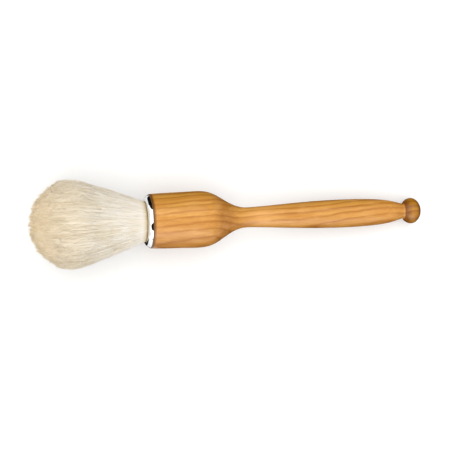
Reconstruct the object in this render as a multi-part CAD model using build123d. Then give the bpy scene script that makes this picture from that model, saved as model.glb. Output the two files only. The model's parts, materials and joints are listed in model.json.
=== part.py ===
from build123d import *
import math
import os

# A neck duster brush: goat hair set in a turned wooden handle behind a bevelled metal ferrule.
# Each piece is drawn along the brush's own axis, which is X here: the handle's front face is at
# x = 0, the hair points to -X and the knob to +X. The finished pieces are then laid down as the
# brush lies on a table, on the underside of its hair and on its knob. All sizes are millimetres.

# Handle: body, waist, grip, neck and knob, turned from one piece
HANDLE_LENGTH = 170.0
MOUTH_RADIUS = 16.1
MOUTH_ROUNDING = 0.8
BODY_RADIUS = 16.7
BODY_WIDEST_X = 22.6
SHOULDER_X = 37.2
SHOULDER_RADIUS = 15.6
FLANK_X = 45.4
FLANK_RADIUS = 11.1
WAIST_RADIUS = 6.1
WAIST_START_X = 56.2
WAIST_START_RADIUS = 6.3
WAIST_X = 63.6
GRIP_RADIUS = 8.55
GRIP_X = 120.6
GRIP_SLOPE_X = 87.6
GRIP_SLOPE_RADIUS = 7.5
TAPER_X = 145.6
TAPER_RADIUS = 7.45
NECK_RADIUS = 4.35
NECK_SLOPE = -0.33
NECK_ROUNDING = 1.1
KNOB_RADIUS = 7.85
KNOB_X = 163.9

# Socket bored in the front of the handle, with the dimple that the drill's point leaves
SOCKET_RADIUS = 12.6
SOCKET_DEPTH = 17.5
DIMPLE_RADIUS = 3.0
DIMPLE_DEPTH = 1.4

# Ferrule: a bevelled ring with a skirt that fits in the socket
FERRULE_LENGTH = 2.6
FERRULE_BACK_RADIUS = 15.6
FERRULE_LIP_RADIUS = 13.1
FERRULE_BULGE = 0.4
SKIRT_LENGTH = 14.0
SKIRT_WALL = 0.6

# Hair: the bound root, and the head that flares from the ferrule to a dome
HAIR_ROOT_X = 10.0
FLARE_ANGLE = 23.0
FLARE_X = -19.4
FLARE_RADIUS = 18.4
SWELL_X = -34.4
SWELL_RADIUS = 23.2
HEAD_X = -45.4
HEAD_RADIUS = 25.6
DOME_X = -60.9
DOME_RADIUS = 18.6
HEAD_TIP_X = -69.8
HEAD_PRESSED = 1.0

# Root: thread wound round the hair, resin on the ends, adhesive in the socket's floor
THREAD_DIAMETER = 0.76
THREAD_TURNS = 6
THREAD_PITCH = 0.8
THREAD_START_X = 4.7
THREAD_GAP = 0.02
BINDING_WIDTH = 5.8
PLUG_LENGTH = 6.0

HAIR_RADIUS = SOCKET_RADIUS - SKIRT_WALL
PLUG_END_X = HAIR_ROOT_X + PLUG_LENGTH


def turned(*outline):
    """A solid of revolution about X, from the edges of a closed outline above the axis."""
    return revolve(make_face(Wire(list(outline))), Axis.X)


def joined_lines(*points):
    """Straight edges from each point to the next."""
    return [Line(start, end) for start, end in zip(points, points[1:])]


def make_handle():
    """The turned handle, with its blind socket."""
    mouth_edge = (MOUTH_ROUNDING, MOUTH_RADIUS)
    face_edge = (0, MOUTH_RADIUS - MOUTH_ROUNDING)
    rounding_centre = (MOUTH_ROUNDING, MOUTH_RADIUS - MOUTH_ROUNDING)
    half_turn = MOUTH_ROUNDING * math.sin(math.radians(45))
    rounding_middle = (rounding_centre[0] - half_turn, rounding_centre[1] + half_turn)

    # The knob is an ellipse about its widest place, cut off where the neck meets it.
    knob_half_length = HANDLE_LENGTH - KNOB_X
    neck_angle = math.asin(NECK_RADIUS / KNOB_RADIUS)
    neck_x = KNOB_X - knob_half_length * math.cos(neck_angle)

    body = Spline(
        mouth_edge,
        (BODY_WIDEST_X, BODY_RADIUS),
        (SHOULDER_X, SHOULDER_RADIUS),
        (FLANK_X, FLANK_RADIUS),
        (WAIST_START_X, WAIST_START_RADIUS),
        (WAIST_X, WAIST_RADIUS),
        (GRIP_SLOPE_X, GRIP_SLOPE_RADIUS),
        (GRIP_X, GRIP_RADIUS),
        (TAPER_X, TAPER_RADIUS),
        (neck_x, NECK_RADIUS),
        tangents=[(BODY_WIDEST_X, 2 * (BODY_RADIUS - MOUTH_RADIUS)), (1, NECK_SLOPE)],
    )
    knob = EllipticalCenterArc(
        (KNOB_X, 0),
        knob_half_length,
        KNOB_RADIUS,
        start_angle=180 - math.degrees(neck_angle),
        arc_size=math.degrees(neck_angle) - 180,
    )
    socket = joined_lines(
        (HANDLE_LENGTH, 0),
        (SOCKET_DEPTH + DIMPLE_DEPTH, 0),
        (SOCKET_DEPTH, DIMPLE_RADIUS),
        (SOCKET_DEPTH, SOCKET_RADIUS),
        (0, SOCKET_RADIUS),
        face_edge,
    )
    rounding = ThreePointArc(face_edge, rounding_middle, mouth_edge)
    handle = turned(rounding, body, knob, *socket)
    neck = handle.edges().sort_by(lambda edge: abs(edge.center().X - neck_x))[0]
    return fillet(neck, NECK_ROUNDING)


def make_ferrule():
    """The bevelled ring against the handle's face, and the skirt inside the socket."""
    lip_edge = (-FERRULE_LENGTH, FERRULE_LIP_RADIUS)
    back_edge = (0, FERRULE_BACK_RADIUS)
    bevel_length = math.dist(lip_edge, back_edge)
    bulge = FERRULE_BULGE / bevel_length
    bevel_middle = (
        lip_edge[0] / 2 - bulge * (back_edge[1] - lip_edge[1]),
        (lip_edge[1] + back_edge[1]) / 2 + bulge * (back_edge[0] - lip_edge[0]),
    )
    walls = joined_lines(
        back_edge,
        (0, SOCKET_RADIUS),
        (SKIRT_LENGTH, SOCKET_RADIUS),
        (SKIRT_LENGTH, HAIR_RADIUS),
        (-FERRULE_LENGTH, HAIR_RADIUS),
        lip_edge,
    )
    return turned(ThreePointArc(lip_edge, bevel_middle, back_edge), *walls)


def make_hair_knot():
    """The bundle of hair: its bound root in the ferrule, and the domed head."""
    bound_radius = HAIR_RADIUS - THREAD_DIAMETER - 2 * THREAD_GAP
    binding_start = HAIR_ROOT_X - BINDING_WIDTH
    head = Spline(
        (-FERRULE_LENGTH, HAIR_RADIUS),
        (FLARE_X, FLARE_RADIUS),
        (SWELL_X, SWELL_RADIUS),
        (HEAD_X, HEAD_RADIUS),
        (DOME_X, DOME_RADIUS),
        (HEAD_TIP_X, 0),
        tangents=[
            (-math.cos(math.radians(FLARE_ANGLE)), math.sin(math.radians(FLARE_ANGLE))),
            (0, -1),
        ],
    )
    root = joined_lines(
        (HEAD_TIP_X, 0),
        (HAIR_ROOT_X, 0),
        (HAIR_ROOT_X, bound_radius),
        (binding_start, bound_radius),
        (binding_start, HAIR_RADIUS),
        (-FERRULE_LENGTH, HAIR_RADIUS),
    )
    return turned(head, *root)


def make_binding_thread():
    """One thread wound tightly round the root of the hair."""
    coil_radius = HAIR_RADIUS - THREAD_GAP - THREAD_DIAMETER / 2
    coil = Helix(
        THREAD_PITCH,
        THREAD_PITCH * THREAD_TURNS,
        coil_radius,
        center=(THREAD_START_X, 0, 0),
        direction=(1, 0, 0),
    )
    section = Plane(origin=coil @ 0, z_dir=coil % 0) * Circle(THREAD_DIAMETER / 2)
    return sweep(section, path=coil, is_frenet=True)


def make_root_plug():
    """The disc of set resin that holds the ends of the hair together."""
    outline = joined_lines(
        (HAIR_ROOT_X, 0),
        (PLUG_END_X, 0),
        (PLUG_END_X, HAIR_RADIUS),
        (HAIR_ROOT_X, HAIR_RADIUS),
        (HAIR_ROOT_X, 0),
    )
    return turned(*outline)


def make_adhesive_bed():
    """The adhesive round the end of the plug and over the socket's floor."""
    outline = joined_lines(
        (PLUG_END_X, 0),
        (SOCKET_DEPTH + DIMPLE_DEPTH, 0),
        (SOCKET_DEPTH, DIMPLE_RADIUS),
        (SOCKET_DEPTH, SOCKET_RADIUS),
        (SKIRT_LENGTH, SOCKET_RADIUS),
        (SKIRT_LENGTH, HAIR_RADIUS),
        (PLUG_END_X, HAIR_RADIUS),
        (PLUG_END_X, 0),
    )
    return turned(*outline)


def lay_down(pieces):
    """The pieces as the brush lies: X along it, the table at z = 0, the origin under its middle."""
    drop = HEAD_RADIUS - HEAD_PRESSED - KNOB_RADIUS
    lean = math.degrees(math.asin(drop / (KNOB_X - HEAD_X)))
    leaning = {name: Rot(0, lean, 0) * piece for name, piece in pieces.items()}

    # The knob's lowest point stands on the table, and the table presses the hair flat.
    table = Plane.XY.offset(leaning["handle"].bounding_box().min.Z)
    leaning["hair_knot"] = split(leaning["hair_knot"], bisect_by=table, keep=Keep.TOP)
    tip = leaning["hair_knot"].bounding_box().min.X
    end = leaning["handle"].bounding_box().max.X
    to_origin = Pos(-(tip + end) / 2, 0, -table.origin.Z)
    return {name: to_origin * piece for name, piece in leaning.items()}


brush = lay_down(
    {
        "handle": make_handle(),
        "ferrule": make_ferrule(),
        "hair_knot": make_hair_knot(),
        "binding_thread": make_binding_thread(),
        "root_plug": make_root_plug(),
        "adhesive_bed": make_adhesive_bed(),
    }
)

os.makedirs("parts", exist_ok=True)
for name, piece in brush.items():
    export_step(piece, f"parts/{name}.step")
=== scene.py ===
import json
import math

import bpy
import numpy as np
from mathutils import Matrix, Vector


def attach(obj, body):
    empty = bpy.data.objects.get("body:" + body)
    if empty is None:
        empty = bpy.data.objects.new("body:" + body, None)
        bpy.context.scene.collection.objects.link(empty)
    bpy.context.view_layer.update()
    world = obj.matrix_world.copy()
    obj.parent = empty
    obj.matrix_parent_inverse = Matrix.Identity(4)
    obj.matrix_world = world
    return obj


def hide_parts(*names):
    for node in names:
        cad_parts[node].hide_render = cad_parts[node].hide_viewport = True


# A barber's neck duster, lying on a table. The wood, the bright collar and what is hidden in the
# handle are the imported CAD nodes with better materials. The hair is some 32,000 separate hairs in
# place of its plain solid. Every length is in metres.

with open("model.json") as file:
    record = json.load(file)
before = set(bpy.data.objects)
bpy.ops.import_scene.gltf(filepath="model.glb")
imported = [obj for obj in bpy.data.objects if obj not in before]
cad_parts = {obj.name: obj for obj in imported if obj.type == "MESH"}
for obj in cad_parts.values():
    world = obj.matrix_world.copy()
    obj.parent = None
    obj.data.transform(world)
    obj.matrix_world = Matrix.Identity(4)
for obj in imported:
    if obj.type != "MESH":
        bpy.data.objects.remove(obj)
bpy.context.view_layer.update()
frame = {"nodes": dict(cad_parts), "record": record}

MM = 0.001

# ---------------------------------------------------------------- the brush's own coordinates
# u runs along the brush from the handle's front face (the hair is at negative u), v across it
# and w upwards, square to both.
hanging_neck = next(m for m in frame["record"]["mounts"] if m["name"] == "hanging_neck")
NECK = np.array(hanging_neck["pos_m"])
ALONG = np.array(hanging_neck["axis"]) / np.linalg.norm(hanging_neck["axis"])
ACROSS = np.array((0.0, 1.0, 0.0))
UPWARD = np.cross(ALONG, ACROSS)


def node_points(name):
    """A CAD node's vertices, in the row's frame."""
    vertices = frame["nodes"][name].data.vertices
    flat = np.empty(3 * len(vertices))
    vertices.foreach_get("co", flat)
    return flat.reshape(-1, 3)


MOUTH = NECK + ALONG * ((node_points("handle") - NECK) @ ALONG).min()
KNOB_START = float((NECK - MOUTH) @ ALONG)


def to_brush(points):
    """Row points as (u, v, w)."""
    return (points - MOUTH) @ np.stack((ALONG, ACROSS, UPWARD), axis=1)


def to_row(u, v, w):
    """Brush coordinates as row points."""
    return MOUTH + u[..., None] * ALONG + v[..., None] * ACROSS + w[..., None] * UPWARD


# ---------------------------------------------------------------- node helpers
def colour(code):
    """A six-digit sRGB code as a linear RGBA colour."""
    parts = [int(code[i : i + 2], 16) / 255 for i in (0, 2, 4)]
    return (*[p / 12.92 if p <= 0.04045 else ((p + 0.055) / 1.055) ** 2.4 for p in parts], 1.0)


class Nodes:
    """One material's node tree, with short calls to add nodes to it."""

    def __init__(self, name):
        self.material = bpy.data.materials.new(name)
        self.material.use_nodes = True
        self.tree = self.material.node_tree
        self.shader = self.tree.nodes["Principled BSDF"]

    def add(self, kind, inputs=(), **settings):
        node = self.tree.nodes.new(kind)
        for key, value in settings.items():
            setattr(node, key, value)
        for key, value in dict(inputs).items():
            self.feed(node.inputs[key], value)
        return node

    def feed(self, socket, value):
        if isinstance(value, bpy.types.NodeSocket):
            self.tree.links.new(value, socket)
        else:
            socket.default_value = value

    def math(self, operation, *values):
        return self.add("ShaderNodeMath", enumerate(values), operation=operation).outputs[0]

    def vector(self, operation, *values):
        node = self.add("ShaderNodeVectorMath", enumerate(values), operation=operation)
        return node.outputs["Value" if operation == "DOT_PRODUCT" else "Vector"]

    def ramp(self, factor, *stops):
        """A colour ramp; each stop is (place, colour code or grey value)."""
        node = self.add("ShaderNodeValToRGB", {"Fac": factor})
        elements = node.color_ramp.elements
        while len(elements) < len(stops):
            elements.new(0.5)
        for element, (place, value) in zip(elements, stops):
            element.position = place
            element.color = colour(value) if isinstance(value, str) else (value, value, value, 1)
        return node.outputs["Color"]

    def mix(self, factor, first, second, blend="MIX"):
        node = self.add("ShaderNodeMix", data_type="RGBA", blend_type=blend)
        # The node has sockets for each type of data; these are the ones for colours.
        sockets = (node.inputs[0], node.inputs[6], node.inputs[7])
        for socket, value in zip(sockets, (factor, first, second)):
            self.feed(socket, colour(value) if isinstance(value, str) else value)
        return node.outputs[2]

    def noise(self, vector, scale, detail=3.0, roughness=0.5):
        inputs = {"Vector": vector, "Scale": scale, "Detail": detail, "Roughness": roughness}
        return self.add("ShaderNodeTexNoise", inputs).outputs["Fac"]

    def remap(self, value, low, high, new_low, new_high):
        inputs = enumerate((value, low, high, new_low, new_high))
        return self.add("ShaderNodeMapRange", inputs, clamp=True).outputs[0]

    def tint(self, tone, code, value, span, amounts, blend="MIX"):
        """The tone with a colour mixed in, by amounts that follow a value over its span."""
        return self.mix(self.remap(value, *span, *amounts), tone, code, blend)

    def attribute(self, name):
        return self.add("ShaderNodeAttribute", attribute_name=name).outputs["Fac"]

    def brush_place(self):
        """The surface point's (u, v, w)."""
        point = self.add("ShaderNodeTexCoord").outputs["Object"]
        point = self.vector("SUBTRACT", point, tuple(MOUTH))
        return [self.vector("DOT_PRODUCT", point, tuple(axis)) for axis in (ALONG, ACROSS, UPWARD)]

    def join(self, *parts):
        return self.add("ShaderNodeCombineXYZ", enumerate(parts)).outputs[0]

    def drawn_out(self, u, v, w, along):
        """A place for textures whose marks run lengthwise: u counts for this fraction of itself."""
        return self.join(self.math("MULTIPLY", u, along), v, w)

    def bump(self, height, strength, distance):
        inputs = {"Height": height, "Strength": strength, "Distance": distance}
        return self.add("ShaderNodeBump", inputs).outputs[0]

    def finish(self, **inputs):
        """Feeds the shader's sockets, named with underscores for spaces."""
        for key, value in inputs.items():
            self.feed(self.shader.inputs[key.replace("_", " ")], value)
        return self.material


def dress(node_name, material):
    """Gives a carried-over CAD node its material."""
    ob = frame["nodes"][node_name]
    ob.data.materials.clear()
    ob.data.materials.append(material)


# ---------------------------------------------------------------- wood
RING_SPACING = 3.4 * MM
PITH_V, PITH_W = -62.0 * MM, 24.0 * MM
GRAIN_RISE = 0.052  # how fast the grain runs off sideways along the brush
GRAIN_SWAY = 7.0 * MM
WAIST_MIDDLE = 68.0 * MM


def wood_material():
    n = Nodes("lacquered_cherry")
    u, v, w = n.brush_place()
    grain_v = n.math("SUBTRACT", v, n.math("MULTIPLY", u, GRAIN_RISE))

    # Growth rings are cylinders about a pith far to one side, nearly parallel to the brush. They
    # sway slowly, lie unevenly far apart and ripple finely.
    sway = n.noise(n.join(u, n.math("MULTIPLY", v, 1.5), w), 16.0, 2.0, 0.45)
    sway = n.math("MULTIPLY", n.math("SUBTRACT", sway, 0.5), GRAIN_SWAY)
    from_pith_v = n.math("SUBTRACT", grain_v, PITH_V)
    from_pith_w = n.math("SUBTRACT", w, PITH_W)
    square = n.math("MULTIPLY", from_pith_v, from_pith_v)
    square = n.math("MULTIPLY_ADD", from_pith_w, from_pith_w, square)
    distance = n.math("ADD", n.math("SQRT", square), sway)
    uneven = n.noise(n.join(distance, 0.0, 0.0), 260.0, 1.0)
    distance = n.math("MULTIPLY_ADD", uneven, 3.2 * MM, distance)
    ripple = n.noise(n.drawn_out(u, v, w, 0.5), 230.0, 2.0)
    distance = n.math("MULTIPLY_ADD", ripple, 1.3 * MM, distance)
    rings = n.math("DIVIDE", distance, RING_SPACING)
    within_ring = n.math("FRACT", rings)
    line = n.ramp(
        within_ring, (0.0, 0.5), (0.12, 0.05), (0.4, 0.06), (0.72, 0.4), (0.88, 0.95), (1.0, 0.5)
    )
    year = n.noise(n.join(n.math("FLOOR", rings), 0.0, 0.0), 3.7, 0.0)

    # Marks along the grain, from fine to coarse.
    pores = n.noise(n.drawn_out(u, grain_v, w, 0.11), 5200.0, 2.0)
    pores = n.remap(pores, 0.66, 0.76, 0.0, 1.0)
    fibres = n.noise(n.drawn_out(u, grain_v, w, 0.035), 1900.0, 4.0, 0.62)
    streaks = n.noise(n.drawn_out(u, grain_v, w, 0.06), 420.0)
    mottle = n.noise(n.drawn_out(u, grain_v, w, 0.3), 300.0, 3.0, 0.6)
    line_strength = n.noise(n.drawn_out(u, v, w, 0.3), 90.0, 1.0)
    patches = n.noise(n.drawn_out(u, v, w, 0.45), 62.0, 2.0)

    # Honey brown. The near side is painted a little redder, partly as the wood's tone and partly as
    # painted light for how that side is lit.
    tone = n.tint(colour("dfa249"), "dfa63c", patches, (0.35, 0.65), (0.0, 1.0))
    tone = n.tint(tone, "df9f58", v, (-16.0 * MM, 16.0 * MM), (1.0, 0.0))
    tone = n.tint(tone, "cd8a36", streaks, (0.35, 0.68), (0.0, 0.85))
    tone = n.tint(tone, "c08230", year, (0.35, 0.65), (0.0, 0.3))
    line_strength = n.remap(line_strength, 0.3, 0.7, 0.6, 1.0)
    tone = n.mix(n.math("MULTIPLY", line, line_strength), tone, "a66416")
    tone = n.tint(tone, "ecb468", mottle, (0.5, 0.7), (0.0, 0.3))
    tone = n.tint(tone, "bd7c2a", mottle, (0.3, 0.5), (0.3, 0.0))
    tone = n.tint(tone, "9f6620", fibres, (0.42, 0.75), (0.0, 0.4))
    tone = n.mix(n.math("MULTIPLY", pores, 0.35), tone, "74431a")

    # A painted highlight: the wood is painted palest round the waist, where the lacquer catches the
    # light.
    from_waist_highlight = n.math("ABSOLUTE", n.math("SUBTRACT", u, WAIST_MIDDLE))
    tone = n.tint(tone, "f2b66c", from_waist_highlight, (2.0 * MM, 15.0 * MM), (0.3, 0.0))

    # End grain drinks the stain and shows darker where the turning cuts across the fibres.
    normal = n.add("ShaderNodeNewGeometry").outputs["Normal"]
    across_grain = n.math("ABSOLUTE", n.vector("DOT_PRODUCT", normal, tuple(ALONG)))
    end_grain = n.math("POWER", n.remap(across_grain, 0.2, 1.0, 0.0, 1.0), 1.4)
    tone = n.mix(end_grain, tone, "9a6530", blend="MULTIPLY")

    # The knob is darker as a whole. Along the collar the wood is painted more orange, and a thin
    # dark line there is painted shade in the crease between the wood and the collar.
    knob_edge = (KNOB_START + 0.6 * MM, KNOB_START + 1.8 * MM)
    tone = n.tint(tone, "d8d070", u, knob_edge, (0.0, 1.0), blend="MULTIPLY")
    tone = n.tint(tone, "cc7426", u, (0.0, 3.2 * MM), (0.55, 0.0))
    # Painted shade: a thin dark line where the wood meets the collar.
    tone = n.tint(tone, "5c3c04", u, (0.8 * MM, 2.1 * MM), (0.9, 0.0))

    height = n.math("SUBTRACT", fibres, n.math("MULTIPLY", pores, 0.8))
    return n.finish(
        Base_Color=tone,
        Roughness=n.remap(fibres, 0.3, 0.7, 0.36, 0.5),
        Specular_IOR_Level=0.2,
        Coat_Weight=0.42,
        Coat_Roughness=0.16,
        Coat_IOR=1.5,
        Normal=n.bump(height, 0.12, 0.05 * MM),
    )


# ---------------------------------------------------------------- metal
def chrome_material():
    n = Nodes("polished_chrome")
    u, v, w = n.brush_place()
    turn = n.math("ARCTAN2", w, v)
    wheel_place = n.join(n.math("MULTIPLY", turn, 0.4), n.math("MULTIPLY", u, 900.0), 0.0)
    wheel_marks = n.noise(wheel_place, 6.0)
    wear = n.noise(n.join(u, v, w), 320.0)
    rough = n.remap(wheel_marks, 0.3, 0.7, 0.05, 0.09)
    rough = n.math("ADD", rough, n.remap(wear, 0.5, 0.8, 0.0, 0.05))
    return n.finish(
        Base_Color=n.tint(colour("eef0f1"), "dcdedf", wear, (0.35, 0.7), (0.0, 1.0)),
        Metallic=1.0,
        Roughness=rough,
        Normal=n.bump(wheel_marks, 0.02, 0.02 * MM),
    )


# ---------------------------------------------------------------- hair
def hair_material():
    """Cream goat hair: painted shade where it leaves the collar's lip, palest beyond it, darker at
    the tips.
    """
    n = Nodes("goat_hair")
    along, tone = n.attribute("along"), n.attribute("tone")
    u, v, w = n.brush_place()
    # Painted shade: the first stops darken the hair where it leaves the collar's lip.
    shade = n.ramp(
        along,
        (0.0, "84683f"),
        (0.01, "d3c09a"),
        (0.022, "ecdfc6"),
        (0.05, "fef8f0"),
        (0.4, "fef8ec"),
        (0.7, "fbefd9"),
        (1.0, "e8d2ac"),
    )
    shade = n.tint(shade, "cfb98d", tone, (0.0, 0.5), (0.62, 0.0))
    shade = n.tint(shade, "fffaf0", tone, (0.7, 1.0), (0.0, 0.35))
    mottle = n.noise(n.drawn_out(u, v, w, 0.5), 130.0, 2.0)
    shade = n.tint(shade, "e9dab8", mottle, (0.4, 0.7), (0.0, 0.35))
    fine = n.noise(n.drawn_out(u, v, w, 0.05), 4000.0, 2.0)
    return n.finish(
        Base_Color=shade,
        Roughness=n.remap(fine, 0.3, 0.7, 0.5, 0.75),
        Specular_IOR_Level=0.3,
    )


# The hair's outline, read from the CAD solid: radius against station (distance from the mouth).
hair_uvw = to_brush(node_points("hair_knot"))
hair_uvw = hair_uvw[hair_uvw[:, 2] > 0]
order = np.argsort(-hair_uvw[:, 0])
OUTLINE_STATIONS = -hair_uvw[order, 0]
OUTLINE_RADII = np.hypot(hair_uvw[order, 1], hair_uvw[order, 2])
LIP = -to_brush(node_points("ferrule"))[:, 0].min()
outside = OUTLINE_STATIONS > LIP - 0.01 * MM
OUTLINE_STATIONS = OUTLINE_STATIONS[outside]
OUTLINE_RADII = OUTLINE_RADII[outside]
TIP = OUTLINE_STATIONS[-1]
WIDEST = OUTLINE_STATIONS[OUTLINE_RADII.argmax()]
WIDEST_RADIUS = OUTLINE_RADII.max()

HAIR_SEED = 23
HAIR_SIDES = 3
HAIR_START = 0.5 * MM  # the hairs that show at the collar begin this far outside the handle
FULLER = 0.014  # how much the hairs spread past the solid's outline
CROWN_LENGTH = 16 * MM  # how much of each hair that makes the dome is modelled
LIFTED_LENGTH = 12 * MM  # how much of a hair stands up where its tip does

# How hairs differ in length: groups of neighbouring clumps, then clumps, then single hairs
CLUMPS_IN_GROUP = 8
GROUP_LENGTH_SPREAD = 1.1 * MM
CLUMP_LENGTH_SPREAD = 0.85 * MM
CLUMP_SHORTER = 0.5 * MM
LONGEST_CLUMP = 2.4 * MM
HAIR_LENGTH_SPREAD = 0.6 * MM

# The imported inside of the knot
CORE_SIDES = 144
CORE_ROWS = 36
CORE_INSET = 1.5 * MM
CORE_START = -10.0 * MM
CORE_RADIUS_IN_COLLAR = 11.2 * MM
CORE_RIDGES = 47

# Which pieces the light sees. Light passes through real hair, so only some of the hairs shade the
# others from the lamps, and only some of them catch bounced light.
CASTS_SHADOW = ("hair_core", "hair_outer_1")
NO_BOUNCED_LIGHT = ("hair_outer_3", "hair_outer_4", "hair_crown_2", "hair_crown_3")


def outline(station):
    return np.interp(station, OUTLINE_STATIONS, OUTLINE_RADII)


def past_lip(station, end):
    """How far a station is from the collar's lip towards the end, as a fraction."""
    return (station - LIP) / (end - LIP)


def fan(station):
    """How far out the outermost hairs would lie at a station, if none were cut to the dome."""
    past_widest = np.clip((station - WIDEST) / (TIP - WIDEST), 0, None)
    fuller = 1 + FULLER * np.clip(past_lip(station, WIDEST), 0, 1) ** 2
    closing = WIDEST_RADIUS * (1 - 0.16 * past_widest**2)
    return fuller * np.where(station < WIDEST, outline(station), closing)


tip_stations = np.linspace(TIP, WIDEST, 200)
tip_fractions = outline(tip_stations) * (1 + FULLER) / fan(tip_stations)
tip_fractions[0] = 0.0


def tip_station(fraction):
    """Where a hair that leaves the root at this fraction of its radius reaches the dome."""
    return np.interp(fraction, tip_fractions, tip_stations)


def settle(points, floor_height, softness):
    """Presses what would be under the table softly up onto it."""
    above = points[..., 2] - floor_height
    points[..., 2] = floor_height + 0.5 * (above + np.sqrt(above**2 + softness**2))
    return points


def make_mesh_object(name, points, face_sizes, corners):
    mesh = bpy.data.meshes.new(name)
    mesh.vertices.add(len(points))
    mesh.vertices.foreach_set("co", points.astype(np.float32).ravel())
    mesh.loops.add(len(corners))
    mesh.loops.foreach_set("vertex_index", corners.astype(np.int32))
    mesh.polygons.add(len(face_sizes))
    starts = np.concatenate(([0], np.cumsum(face_sizes)[:-1]))
    mesh.polygons.foreach_set("loop_start", starts.astype(np.int32))
    mesh.polygons.foreach_set("use_smooth", np.full(len(face_sizes), True))
    mesh.update(calc_edges=True)
    mesh.validate()
    ob = bpy.data.objects.new(name, mesh)
    bpy.context.scene.collection.objects.link(ob)
    return ob


def set_attribute(ob, name, values):
    layer = ob.data.attributes.new(name, "FLOAT", "POINT")
    layer.data.foreach_set("value", values.astype(np.float32).ravel())


def scattered(rng, count, least_fraction):
    """Random places across the bundle, as (v, w) fractions of its radius."""
    angle = rng.uniform(0, 2 * math.pi, count)
    fraction = np.sqrt(rng.uniform(least_fraction**2, 1.0, count))
    return np.stack((fraction * np.cos(angle), fraction * np.sin(angle)), axis=1)


def nearest_of(places, centres):
    """For each place, the number of the nearest centre."""
    nearest = np.empty(len(places), dtype=int)
    block = 2000
    for first in range(0, len(places), block):
        gap = places[first : first + block, None, :] - centres[None, :, :]
        nearest[first : first + block] = (gap**2).sum(axis=2).argmin(axis=1)
    return nearest


def hair_paths(
    rng, fractions, clumps, rings, start, end=None, lift=0.0, unruly=1.0, gathering=(0.25, 0.68)
):
    """Centre lines of hairs, as row points (hair, ring, xyz), with each one's tone and how far
    along the head each ring is.

    fractions: how far out in the bundle each hair is; clumps, rings: how many of each;
    start, end: stations; lift: how far a tip may stand up; unruly: how much a hair differs from
    its clump; gathering: how much a clump's hairs run together.
    """
    count = len(fractions)
    angles = rng.uniform(0, 2 * math.pi, count)

    # Neighbouring hairs run together in clumps, and neighbouring clumps are about as long.
    spot = np.stack((fractions * np.cos(angles), fractions * np.sin(angles)), axis=1)
    clump_spot = scattered(rng, clumps, fractions.min())
    clump = nearest_of(spot, clump_spot)
    group_spot = scattered(rng, clumps // CLUMPS_IN_GROUP, fractions.min())
    group = nearest_of(clump_spot, group_spot)

    def of_clump(spread):
        return rng.normal(0, spread, clumps)[clump]

    def of_hair(spread):
        return rng.normal(0, spread, count)[:, None]

    group_length = rng.normal(0, GROUP_LENGTH_SPREAD, len(group_spot))[group]
    clump_length = group_length + rng.normal(-CLUMP_SHORTER, CLUMP_LENGTH_SPREAD, clumps)
    clump_length = np.minimum(clump_length, LONGEST_CLUMP)[clump]
    clump_tone = rng.uniform(0, 1, clumps)[clump]
    clump_sideways = of_clump(0.9 * MM)[:, None]
    clump_outward = of_clump(0.3 * MM)[:, None]
    clump_wave = of_clump(0.48 * MM)[:, None]
    clump_wave_length = rng.uniform(14, 30, clumps)[clump] * MM
    clump_wave_start = rng.uniform(0, 2 * math.pi, clumps)[clump]

    # A hair's own lean is mostly sideways along the head's surface, and only a little in or out.
    outward = spot / np.linalg.norm(spot, axis=1, keepdims=True)
    sideways = np.stack((-outward[:, 1], outward[:, 0]), axis=1)
    lean = sideways * (clump_sideways + of_hair(0.6 * MM * unruly))
    lean += outward * (clump_outward + of_hair(0.25 * MM * unruly))
    wave = sideways * (clump_wave + of_hair(0.14 * MM * unruly))
    wave += outward * of_hair(0.1 * MM * unruly)
    wave_length = clump_wave_length * rng.uniform(0.92, 1.08, count)
    wave_start = clump_wave_start + rng.normal(0, 0.4, count)
    gather = rng.uniform(*gathering, count)

    # A hair ends a little under the dome, so that the longest don't pass it by far. Its rings
    # are closer together towards its tip.
    own_end = tip_station(fractions) - (1.6 - 0.8 * fractions) * MM
    own_end = own_end + rng.normal(0, HAIR_LENGTH_SPREAD, count) + clump_length
    end = own_end if end is None else np.minimum(own_end, end)
    start = np.broadcast_to(start(end) if callable(start) else start, end.shape)
    t = np.append(0.975 * np.linspace(0, 1, rings - 1) ** 0.92, 1.0)[None, :]
    station = start[:, None] + (end - start)[:, None] * t
    if start[0] < LIP:  # one ring exactly at the ferrule's lip
        station[:, 1] = LIP

    flare = np.clip(past_lip(station, TIP), 0, 1.1)
    pull = (gather[:, None] * flare**1.6)[..., None]
    place = spot[:, None, :] * (1 - pull) + clump_spot[clump][:, None, :] * pull
    place = place * fan(np.maximum(station, LIP))[..., None]
    place += lean[:, None, :] * (flare**1.3)[..., None]
    ripple = np.sin(2 * math.pi * station / wave_length[:, None] + wave_start[:, None])
    place += wave[:, None, :] * (ripple * np.clip(3 * flare, 0, 1))[..., None]

    # The tip stands up from the head's side, by less where the head is narrow.
    raised = np.clip((station - end[:, None]) / LIFTED_LENGTH + 1, 0, 1) ** 2
    own_lift = lift * rng.uniform(0.2, 1.0, count) * np.clip(past_lip(end, WIDEST), 0, 1) ** 2
    place += outward[:, None, :] * (raised * own_lift[:, None])[..., None]

    points = settle(to_row(-station, place[..., 0], place[..., 1]), 0.16 * MM, 0.6 * MM)
    tone = np.clip(0.5 * clump_tone + 0.5 * rng.uniform(0, 1, count), 0, 1)
    return points, tone, past_lip(station, TIP)


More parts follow.
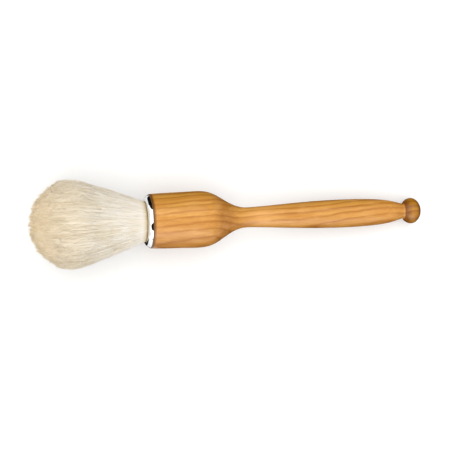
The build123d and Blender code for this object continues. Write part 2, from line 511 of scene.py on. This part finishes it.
def hair_piece(name, paths, tones, along, thickness, rng):
    """Closed, tapering three-sided hairs round the given centre lines, as one piece."""
    count, rings, _ = paths.shape
    tangent = np.gradient(paths, axis=1)
    tangent /= np.linalg.norm(tangent, axis=2, keepdims=True)
    side = np.cross(tangent, UPWARD + 0.31 * ACROSS)
    side /= np.linalg.norm(side, axis=2, keepdims=True)
    other = np.cross(tangent, side)
    taper = 1 - 0.6 * np.linspace(0, 1, rings) ** 4
    width = thickness * rng.uniform(0.75, 1.15, count)[:, None] * taper[None, :]
    side_angles = np.arange(HAIR_SIDES) * 2 * math.pi / HAIR_SIDES
    spin = (rng.uniform(0, 2 * math.pi, count)[:, None] + side_angles)[:, None, :, None]
    wall = side[:, :, None, :] * np.cos(spin) + other[:, :, None, :] * np.sin(spin)
    tube = paths[:, :, None, :] + wall * width[:, :, None, None] / 2
    # The last ring becomes the point.
    points = np.concatenate((tube[:, :-1].reshape(count, -1, 3), paths[:, -1:]), axis=1)
    per_hair = points.shape[1]

    # One hair's faces: quads between its rings, triangles at its point, one triangle at its root.
    ring = np.arange(rings - 2)[:, None] * HAIR_SIDES
    k = np.arange(HAIR_SIDES)
    after = (k + 1) % HAIR_SIDES
    above = ring + HAIR_SIDES
    quads = np.stack((ring + k, ring + after, above + after, above + k), axis=2)
    last = (rings - 2) * HAIR_SIDES
    point = np.stack((last + k, last + after, np.full(HAIR_SIDES, per_hair - 1)), axis=1)
    pattern = np.concatenate((quads.ravel(), point.ravel(), k[::-1]))
    sizes = np.concatenate((np.full(quads[..., 0].size, 4), np.full(HAIR_SIDES + 1, 3)))
    corners = (pattern[None, :] + per_hair * np.arange(count)[:, None]).ravel()
    ob = make_mesh_object(name, points.reshape(-1, 3), np.tile(sizes, count), corners)

    along = np.concatenate((np.repeat(along[:, :-1], HAIR_SIDES, axis=1), along[:, -1:]), axis=1)
    set_attribute(ob, "along", np.clip(along, 0, 1))
    set_attribute(ob, "tone", np.repeat(tones, per_hair))
    return ob


def hair_core(name):
    """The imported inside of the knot, from its bound root to just under the outer hairs."""
    rows = [(station, CORE_RADIUS_IN_COLLAR) for station in (CORE_START, -4.0 * MM, LIP)]
    for station in np.linspace(LIP + 3 * MM, TIP - CORE_INSET - 0.4 * MM, CORE_ROWS):
        radius = outline(station + CORE_INSET * 0.35) - CORE_INSET
        rows.append((station, max(radius, 0.2 * MM)))
    station = np.array([row[0] for row in rows])[:, None]
    radius = np.array([row[1] for row in rows])[:, None]
    angle = np.arange(CORE_SIDES) * 2 * math.pi / CORE_SIDES
    depth = 0.012 * np.clip((station - LIP) / (20 * MM), 0, 1)
    radius = radius * (1 + depth * np.sin(angle * CORE_RIDGES)[None, :])
    v, w = radius * np.cos(angle), radius * np.sin(angle)
    points = settle(to_row(-np.broadcast_to(station, v.shape), v, w), 0.9 * MM, 0.8 * MM)
    ends = MOUTH - np.array([[CORE_START], [TIP - CORE_INSET]]) * ALONG
    points = np.concatenate((points.reshape(-1, 3), ends))

    # Quads between the rows, and a fan of triangles at each end.
    k = np.arange(CORE_SIDES)
    after = (k + 1) % CORE_SIDES
    row = np.arange(len(rows) - 1)[:, None] * CORE_SIDES
    next_row = row + CORE_SIDES
    quads = np.stack((row + k, next_row + k, next_row + after, row + after), axis=2)
    root, tip = np.full(CORE_SIDES, len(points) - 2), np.full(CORE_SIDES, len(points) - 1)
    last = (len(rows) - 1) * CORE_SIDES
    root_fan = np.stack((k, after, root), axis=1)
    tip_fan = np.stack((last + after, last + k, tip), axis=1)
    corners = np.concatenate((quads.ravel(), root_fan.ravel(), tip_fan.ravel()))
    sizes = np.concatenate((np.full(quads[..., 0].size, 4), np.full(2 * CORE_SIDES, 3)))
    ob = make_mesh_object(name, points, sizes, corners)
    set_attribute(ob, "along", np.clip(past_lip(-to_brush(points)[:, 0], TIP), 0, 1))
    # A tone a little under the hairs' mean: painted shade for the depth between the hairs.
    set_attribute(ob, "tone", np.full(len(points), 0.4))
    return ob


def build_hair(material):
    rng = np.random.default_rng(HAIR_SEED)
    pieces = [hair_core("hair_core")]

    def add(name, parts, thickness, fractions, **style):
        paths, tones, along = hair_paths(rng, fractions, **style)
        for i, part in enumerate(np.array_split(np.arange(len(tones)), parts)):
            label = name if parts == 1 else f"{name}_{i + 1}"
            piece = hair_piece(label, paths[part], tones[part], along[part], thickness, rng)
            pieces.append(piece)

    # The long outer hairs, from inside the ferrule to the dome.
    fractions = np.sqrt(rng.uniform(0.82**2, 0.985**2, 9000))
    add("hair_outer", 4, 0.23 * MM, fractions, clumps=1000, rings=14, start=HAIR_START)

    # Shorter hairs among them, whose tips stand up a little from the side of the head.
    count = 3400
    fractions = np.sqrt(rng.uniform(0.92**2, 0.99**2, count))
    ends = rng.uniform(16 * MM, WIDEST + 9 * MM, count)
    style = dict(clumps=900, rings=10, start=HAIR_START, end=ends, lift=1.1 * MM, unruly=1.3)
    add("hair_short", 1, 0.17 * MM, fractions, **style)

    # The ends of all the hairs, which together make the dome.
    fractions = 0.97 * rng.uniform(0.0, 1.0, 20000) ** 0.42
    style = dict(clumps=2400, rings=5, start=lambda end: end - CROWN_LENGTH, lift=1.0 * MM)
    add("hair_crown", 3, 0.25 * MM, fractions, gathering=(0.3, 0.75), **style)

    # A few that stray from the rest.
    count = 90
    fractions = rng.uniform(0.93, 0.98, count)
    ends = rng.uniform(26 * MM, WIDEST, count)
    style = dict(clumps=60, rings=12, start=HAIR_START, end=ends, lift=2.2 * MM, unruly=1.6)
    add("hair_stray", 1, 0.15 * MM, fractions, **style)

    for piece in pieces:
        piece.data.materials.append(material)
        piece.visible_shadow = piece.name in CASTS_SHADOW
        piece.visible_diffuse = piece.name not in NO_BOUNCED_LIGHT
        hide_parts("hair_knot")
        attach(piece, "root")


# ---------------------------------------------------------------- what stays hidden in the socket
def thread_material():
    n = Nodes("waxed_linen_thread")
    u, v, w = n.brush_place()
    round_turn = n.math("MULTIPLY", n.math("ARCTAN2", w, v), 12.0 * MM)
    plies = n.add(
        "ShaderNodeTexWave",
        {"Vector": n.join(round_turn, u, 0.0), "Scale": 420.0, "Distortion": 0.6},
        bands_direction="DIAGONAL",
    ).outputs["Fac"]
    return n.finish(
        Base_Color=n.mix(plies, "a99d83", "e3dcc8"),
        Roughness=n.remap(plies, 0.0, 1.0, 0.7, 0.55),
        Normal=n.bump(plies, 0.5, 0.05 * MM),
    )


def resin_material():
    n = Nodes("set_resin")
    cloud = n.noise(n.join(*n.brush_place()), 180.0, 4.0)
    return n.finish(
        Base_Color=n.tint(colour("b98242"), "8f5f2b", cloud, (0.35, 0.7), (0.0, 1.0)),
        Roughness=n.remap(cloud, 0.3, 0.7, 0.15, 0.3),
        Normal=n.bump(cloud, 0.15, 0.2 * MM),
    )


def adhesive_material():
    n = Nodes("filled_adhesive")
    point = n.join(*n.brush_place())
    grit = n.noise(point, 900.0)
    cloud = n.noise(point, 140.0, 2.0)
    return n.finish(
        Base_Color=n.tint(colour("d9d0b4"), "c3b896", cloud, (0.35, 0.65), (0.0, 1.0)),
        Roughness=n.remap(grit, 0.3, 0.7, 0.5, 0.7),
        Normal=n.bump(grit, 0.3, 0.1 * MM),
    )


# ---------------------------------------------------------------- camera
CAMERA_LEAN = math.radians(8.6)  # from straight above, towards the hair's end
CAMERA_ROLL = math.radians(2.42)
CAMERA_DISTANCE = 768 * MM
CAMERA_LENS, CAMERA_SENSOR = 102.8, 36.0  # in millimetres, as Blender takes them
AIM_STATION, AIM_DROP = 46.1 * MM, 4.05 * MM  # the view's centre: along the axis, and below it


def make_camera():
    """The photograph's view: from above, a little from the hair's end, the brush turned slightly."""
    back = np.array((-math.sin(CAMERA_LEAN), 0.0, math.cos(CAMERA_LEAN)))
    along = ALONG - (ALONG @ back) * back
    along /= np.linalg.norm(along)
    up = np.cross(back, along)
    right = along * math.cos(CAMERA_ROLL) - up * math.sin(CAMERA_ROLL)
    up = along * math.sin(CAMERA_ROLL) + up * math.cos(CAMERA_ROLL)
    target = MOUTH + ALONG * AIM_STATION - up * AIM_DROP
    data = bpy.data.cameras.new("camera")
    data.lens, data.sensor_width = CAMERA_LENS, CAMERA_SENSOR
    data.clip_start, data.clip_end = 0.01, 50.0
    camera = bpy.data.objects.new("camera", data)
    bpy.context.scene.collection.objects.link(camera)
    turned = Matrix([right, up, back]).transposed().to_4x4()
    camera.matrix_world = Matrix.Translation(Vector(target + back * CAMERA_DISTANCE)) @ turned
    bpy.context.scene.camera = camera


# ---------------------------------------------------------------- floor and lights
FLOOR_HALF = 4.0
WHITE = (1, 1, 1, 1)


def floor_material():
    n = Nodes("glowing_pale_paper")
    point = n.add("ShaderNodeTexCoord").outputs["Object"]
    fleck = n.noise(point, 900.0, 2.0)
    return n.finish(
        Base_Color=n.tint(colour("f7f7f6"), "f4f4f3", fleck, (0.3, 0.7), (0.0, 1.0)),
        Roughness=n.remap(fleck, 0.3, 0.7, 0.85, 0.95),
        Specular_IOR_Level=0.1,
        # The paper glows faintly. This is painted light, which lifts the shadows on the floor.
        Emission_Color=WHITE,
        Emission_Strength=0.1,
    )


def make_floor():
    mesh = bpy.data.meshes.new("floor")
    corners = [(x * FLOOR_HALF, y * FLOOR_HALF, 0) for x, y in ((-1, -1), (1, -1), (1, 1), (-1, 1))]
    mesh.from_pydata(corners, [], [(0, 1, 2, 3)])
    floor = bpy.data.objects.new("floor", mesh)
    bpy.context.scene.collection.objects.link(floor)
    floor.data.materials.append(floor_material())
    # A white floor's own bounced light would be too strong; the dim low sky takes its place.
    floor.visible_diffuse = False


def lamp(name, kind, place, energy):
    """A lamp that points at the brush's middle."""
    data = bpy.data.lights.new(name, kind)
    data.energy = energy
    light = bpy.data.objects.new(name, data)
    bpy.context.scene.collection.objects.link(light)
    light.location = place
    light.rotation_mode = "QUATERNION"
    light.rotation_quaternion = (Vector((0.0, 0.0, 0.02)) - Vector(place)).to_track_quat("-Z", "Y")
    return light


def soft_sun(name, place, spread, energy):
    """A wide, even light from one direction, which reaches the whole floor alike."""
    lamp(name, "SUN", place, energy).data.angle = math.radians(spread)


def white_panel(name, place, energy, width, height):
    """A lit white panel that shows only in what is glossy."""
    panel = lamp(name, "AREA", place, energy)
    panel.data.shape, panel.data.size, panel.data.size_y = "RECTANGLE", width, height
    panel.visible_diffuse = panel.visible_camera = False


def make_world(low_sky, high_sky, seen):
    """Light that grows from the horizon to the zenith; the camera sees plain white."""
    world = bpy.data.worlds.new("studio")
    world.use_nodes = True
    tree = world.node_tree
    output, sky = tree.nodes["World Output"], tree.nodes["Background"]
    point = tree.nodes.new("ShaderNodeTexCoord")
    split = tree.nodes.new("ShaderNodeSeparateXYZ")
    grow = tree.nodes.new("ShaderNodeMapRange")
    grow.inputs["To Min"].default_value, grow.inputs["To Max"].default_value = low_sky, high_sky
    tree.links.new(point.outputs["Generated"], split.inputs[0])
    tree.links.new(split.outputs["Z"], grow.inputs["Value"])
    tree.links.new(grow.outputs[0], sky.inputs["Strength"])
    sky.inputs["Color"].default_value = WHITE
    plain = tree.nodes.new("ShaderNodeBackground")
    plain.inputs["Color"].default_value = WHITE
    plain.inputs["Strength"].default_value = seen
    choose = tree.nodes.new("ShaderNodeMixShader")
    path = tree.nodes.new("ShaderNodeLightPath")
    tree.links.new(path.outputs["Is Camera Ray"], choose.inputs[0])
    tree.links.new(sky.outputs[0], choose.inputs[1])
    tree.links.new(plain.outputs[0], choose.inputs[2])
    tree.links.new(choose.outputs[0], output.inputs["Surface"])
    bpy.context.scene.world = world


# ---------------------------------------------------------------- what the bright metal mirrors
# The photograph's collar shows black and white patches. Cards that only reflections see make the
# black ones; their places were worked out from the collar's slope and the camera's direction.
RING_X = float(MOUTH[0])
CARDS_X = 0.2  # the cards under the handle end here, past the knob
FAR_X = 1.5
WALL_Y, WALL_TOP = 1.2, 1.0
TABLE_CARD_Z = 1 * MM
DARK, BLACK = 0.01, 0.005


def card(name, corners, grey):
    """A studio card that shows only in what is glossy."""
    mesh = bpy.data.meshes.new(name)
    mesh.from_pydata(corners, [], [tuple(range(len(corners)))])
    ob = bpy.data.objects.new(name, mesh)
    bpy.context.scene.collection.objects.link(ob)
    material = Nodes(name).finish(
        Base_Color=(grey, grey, grey, 1), Roughness=1.0, Specular_IOR_Level=0.0
    )
    ob.data.materials.append(material)
    ob.visible_camera = ob.visible_shadow = ob.visible_diffuse = False


def table_card(name, corners, grey):
    """A card lying on the table, from its (x, y) corners."""
    card(name, [(x, y, TABLE_CARD_Z) for x, y in corners], grey)


def make_cards():
    # Beyond the brush: the table, the wall behind it, and the place of the camera. Their slanting
    # edges draw the black wedge at the collar's top and its tail.
    table_edge = [(-0.015, 0.032), (-0.11, 0.092), (-0.45, 0.45), (-1.25, WALL_Y)]
    table = [(RING_X + x, y) for x, y in table_edge] + [(FAR_X, WALL_Y), (FAR_X, 0.032)]
    table_card("dark_table", table, BLACK)
    wall_edge = [(-1.25, 0.0), (-1.3, 0.4), (-1.13, 0.65), (-0.7, WALL_TOP)]
    wall = [(RING_X + x, z) for x, z in wall_edge] + [(FAR_X, WALL_TOP), (FAR_X, 0.0)]
    card("dark_wall", [(x, WALL_Y, z) for x, z in wall], BLACK)
    spot = [(-0.1, 1.16), (-0.85, 0.92), (-0.3, 0.3), (-0.12, 0.26)]
    card("dark_camera", [(RING_X - 0.5, y, z) for y, z in spot], BLACK)

    # Under the brush: dark cards stand in for the shaded floor there, as painted shade that only
    # reflections see. They give what the lacquer mirrors at the handle's edges, and the patch at the
    # collar's foot.
    lip_x, side_x = RING_X - 0.003, RING_X + 0.006
    table_card("dark_far_side", [(lip_x, 0.0), (CARDS_X, 0.0), (CARDS_X, 0.04), (lip_x, 0.04)], DARK)
    near = [(lip_x, -0.022), (CARDS_X, -0.018), (CARDS_X, 0.0), (lip_x, 0.0)]
    table_card("dark_near_side", near, DARK)
    near = [(side_x, -0.08), (CARDS_X, -0.08), (CARDS_X, -0.018), (side_x, -0.018)]
    table_card("dark_near_wood", near, DARK)
    near = [(RING_X - 0.05, -0.042), (RING_X - 0.018, -0.027), (lip_x, -0.018), (lip_x, 0.0)]
    table_card("dark_near_hair", near + [(RING_X - 0.05, 0.0)], DARK)


# ---------------------------------------------------------------- the scene
make_camera()
make_floor()
make_world(low_sky=0.32, high_sky=1.32, seen=1.0)
soft_sun("far_side", (0.0, 1.15, 1.0), spread=60.0, energy=0.81)
soft_sun("near_side", (-0.2, -1.15, 1.0), spread=60.0, energy=0.87)
white_panel("white_wall", (-1.1, 0.0, 0.7), energy=18.0, width=3.2, height=1.3)
white_panel("white_side", (-0.1, -1.3, 0.55), energy=12.0, width=2.4, height=0.9)
make_cards()
bpy.context.scene.view_settings.view_transform = "Standard"

dress("handle", wood_material())
dress("ferrule", chrome_material())
dress("binding_thread", thread_material())
dress("root_plug", resin_material())
dress("adhesive_bed", adhesive_material())
build_hair(hair_material())
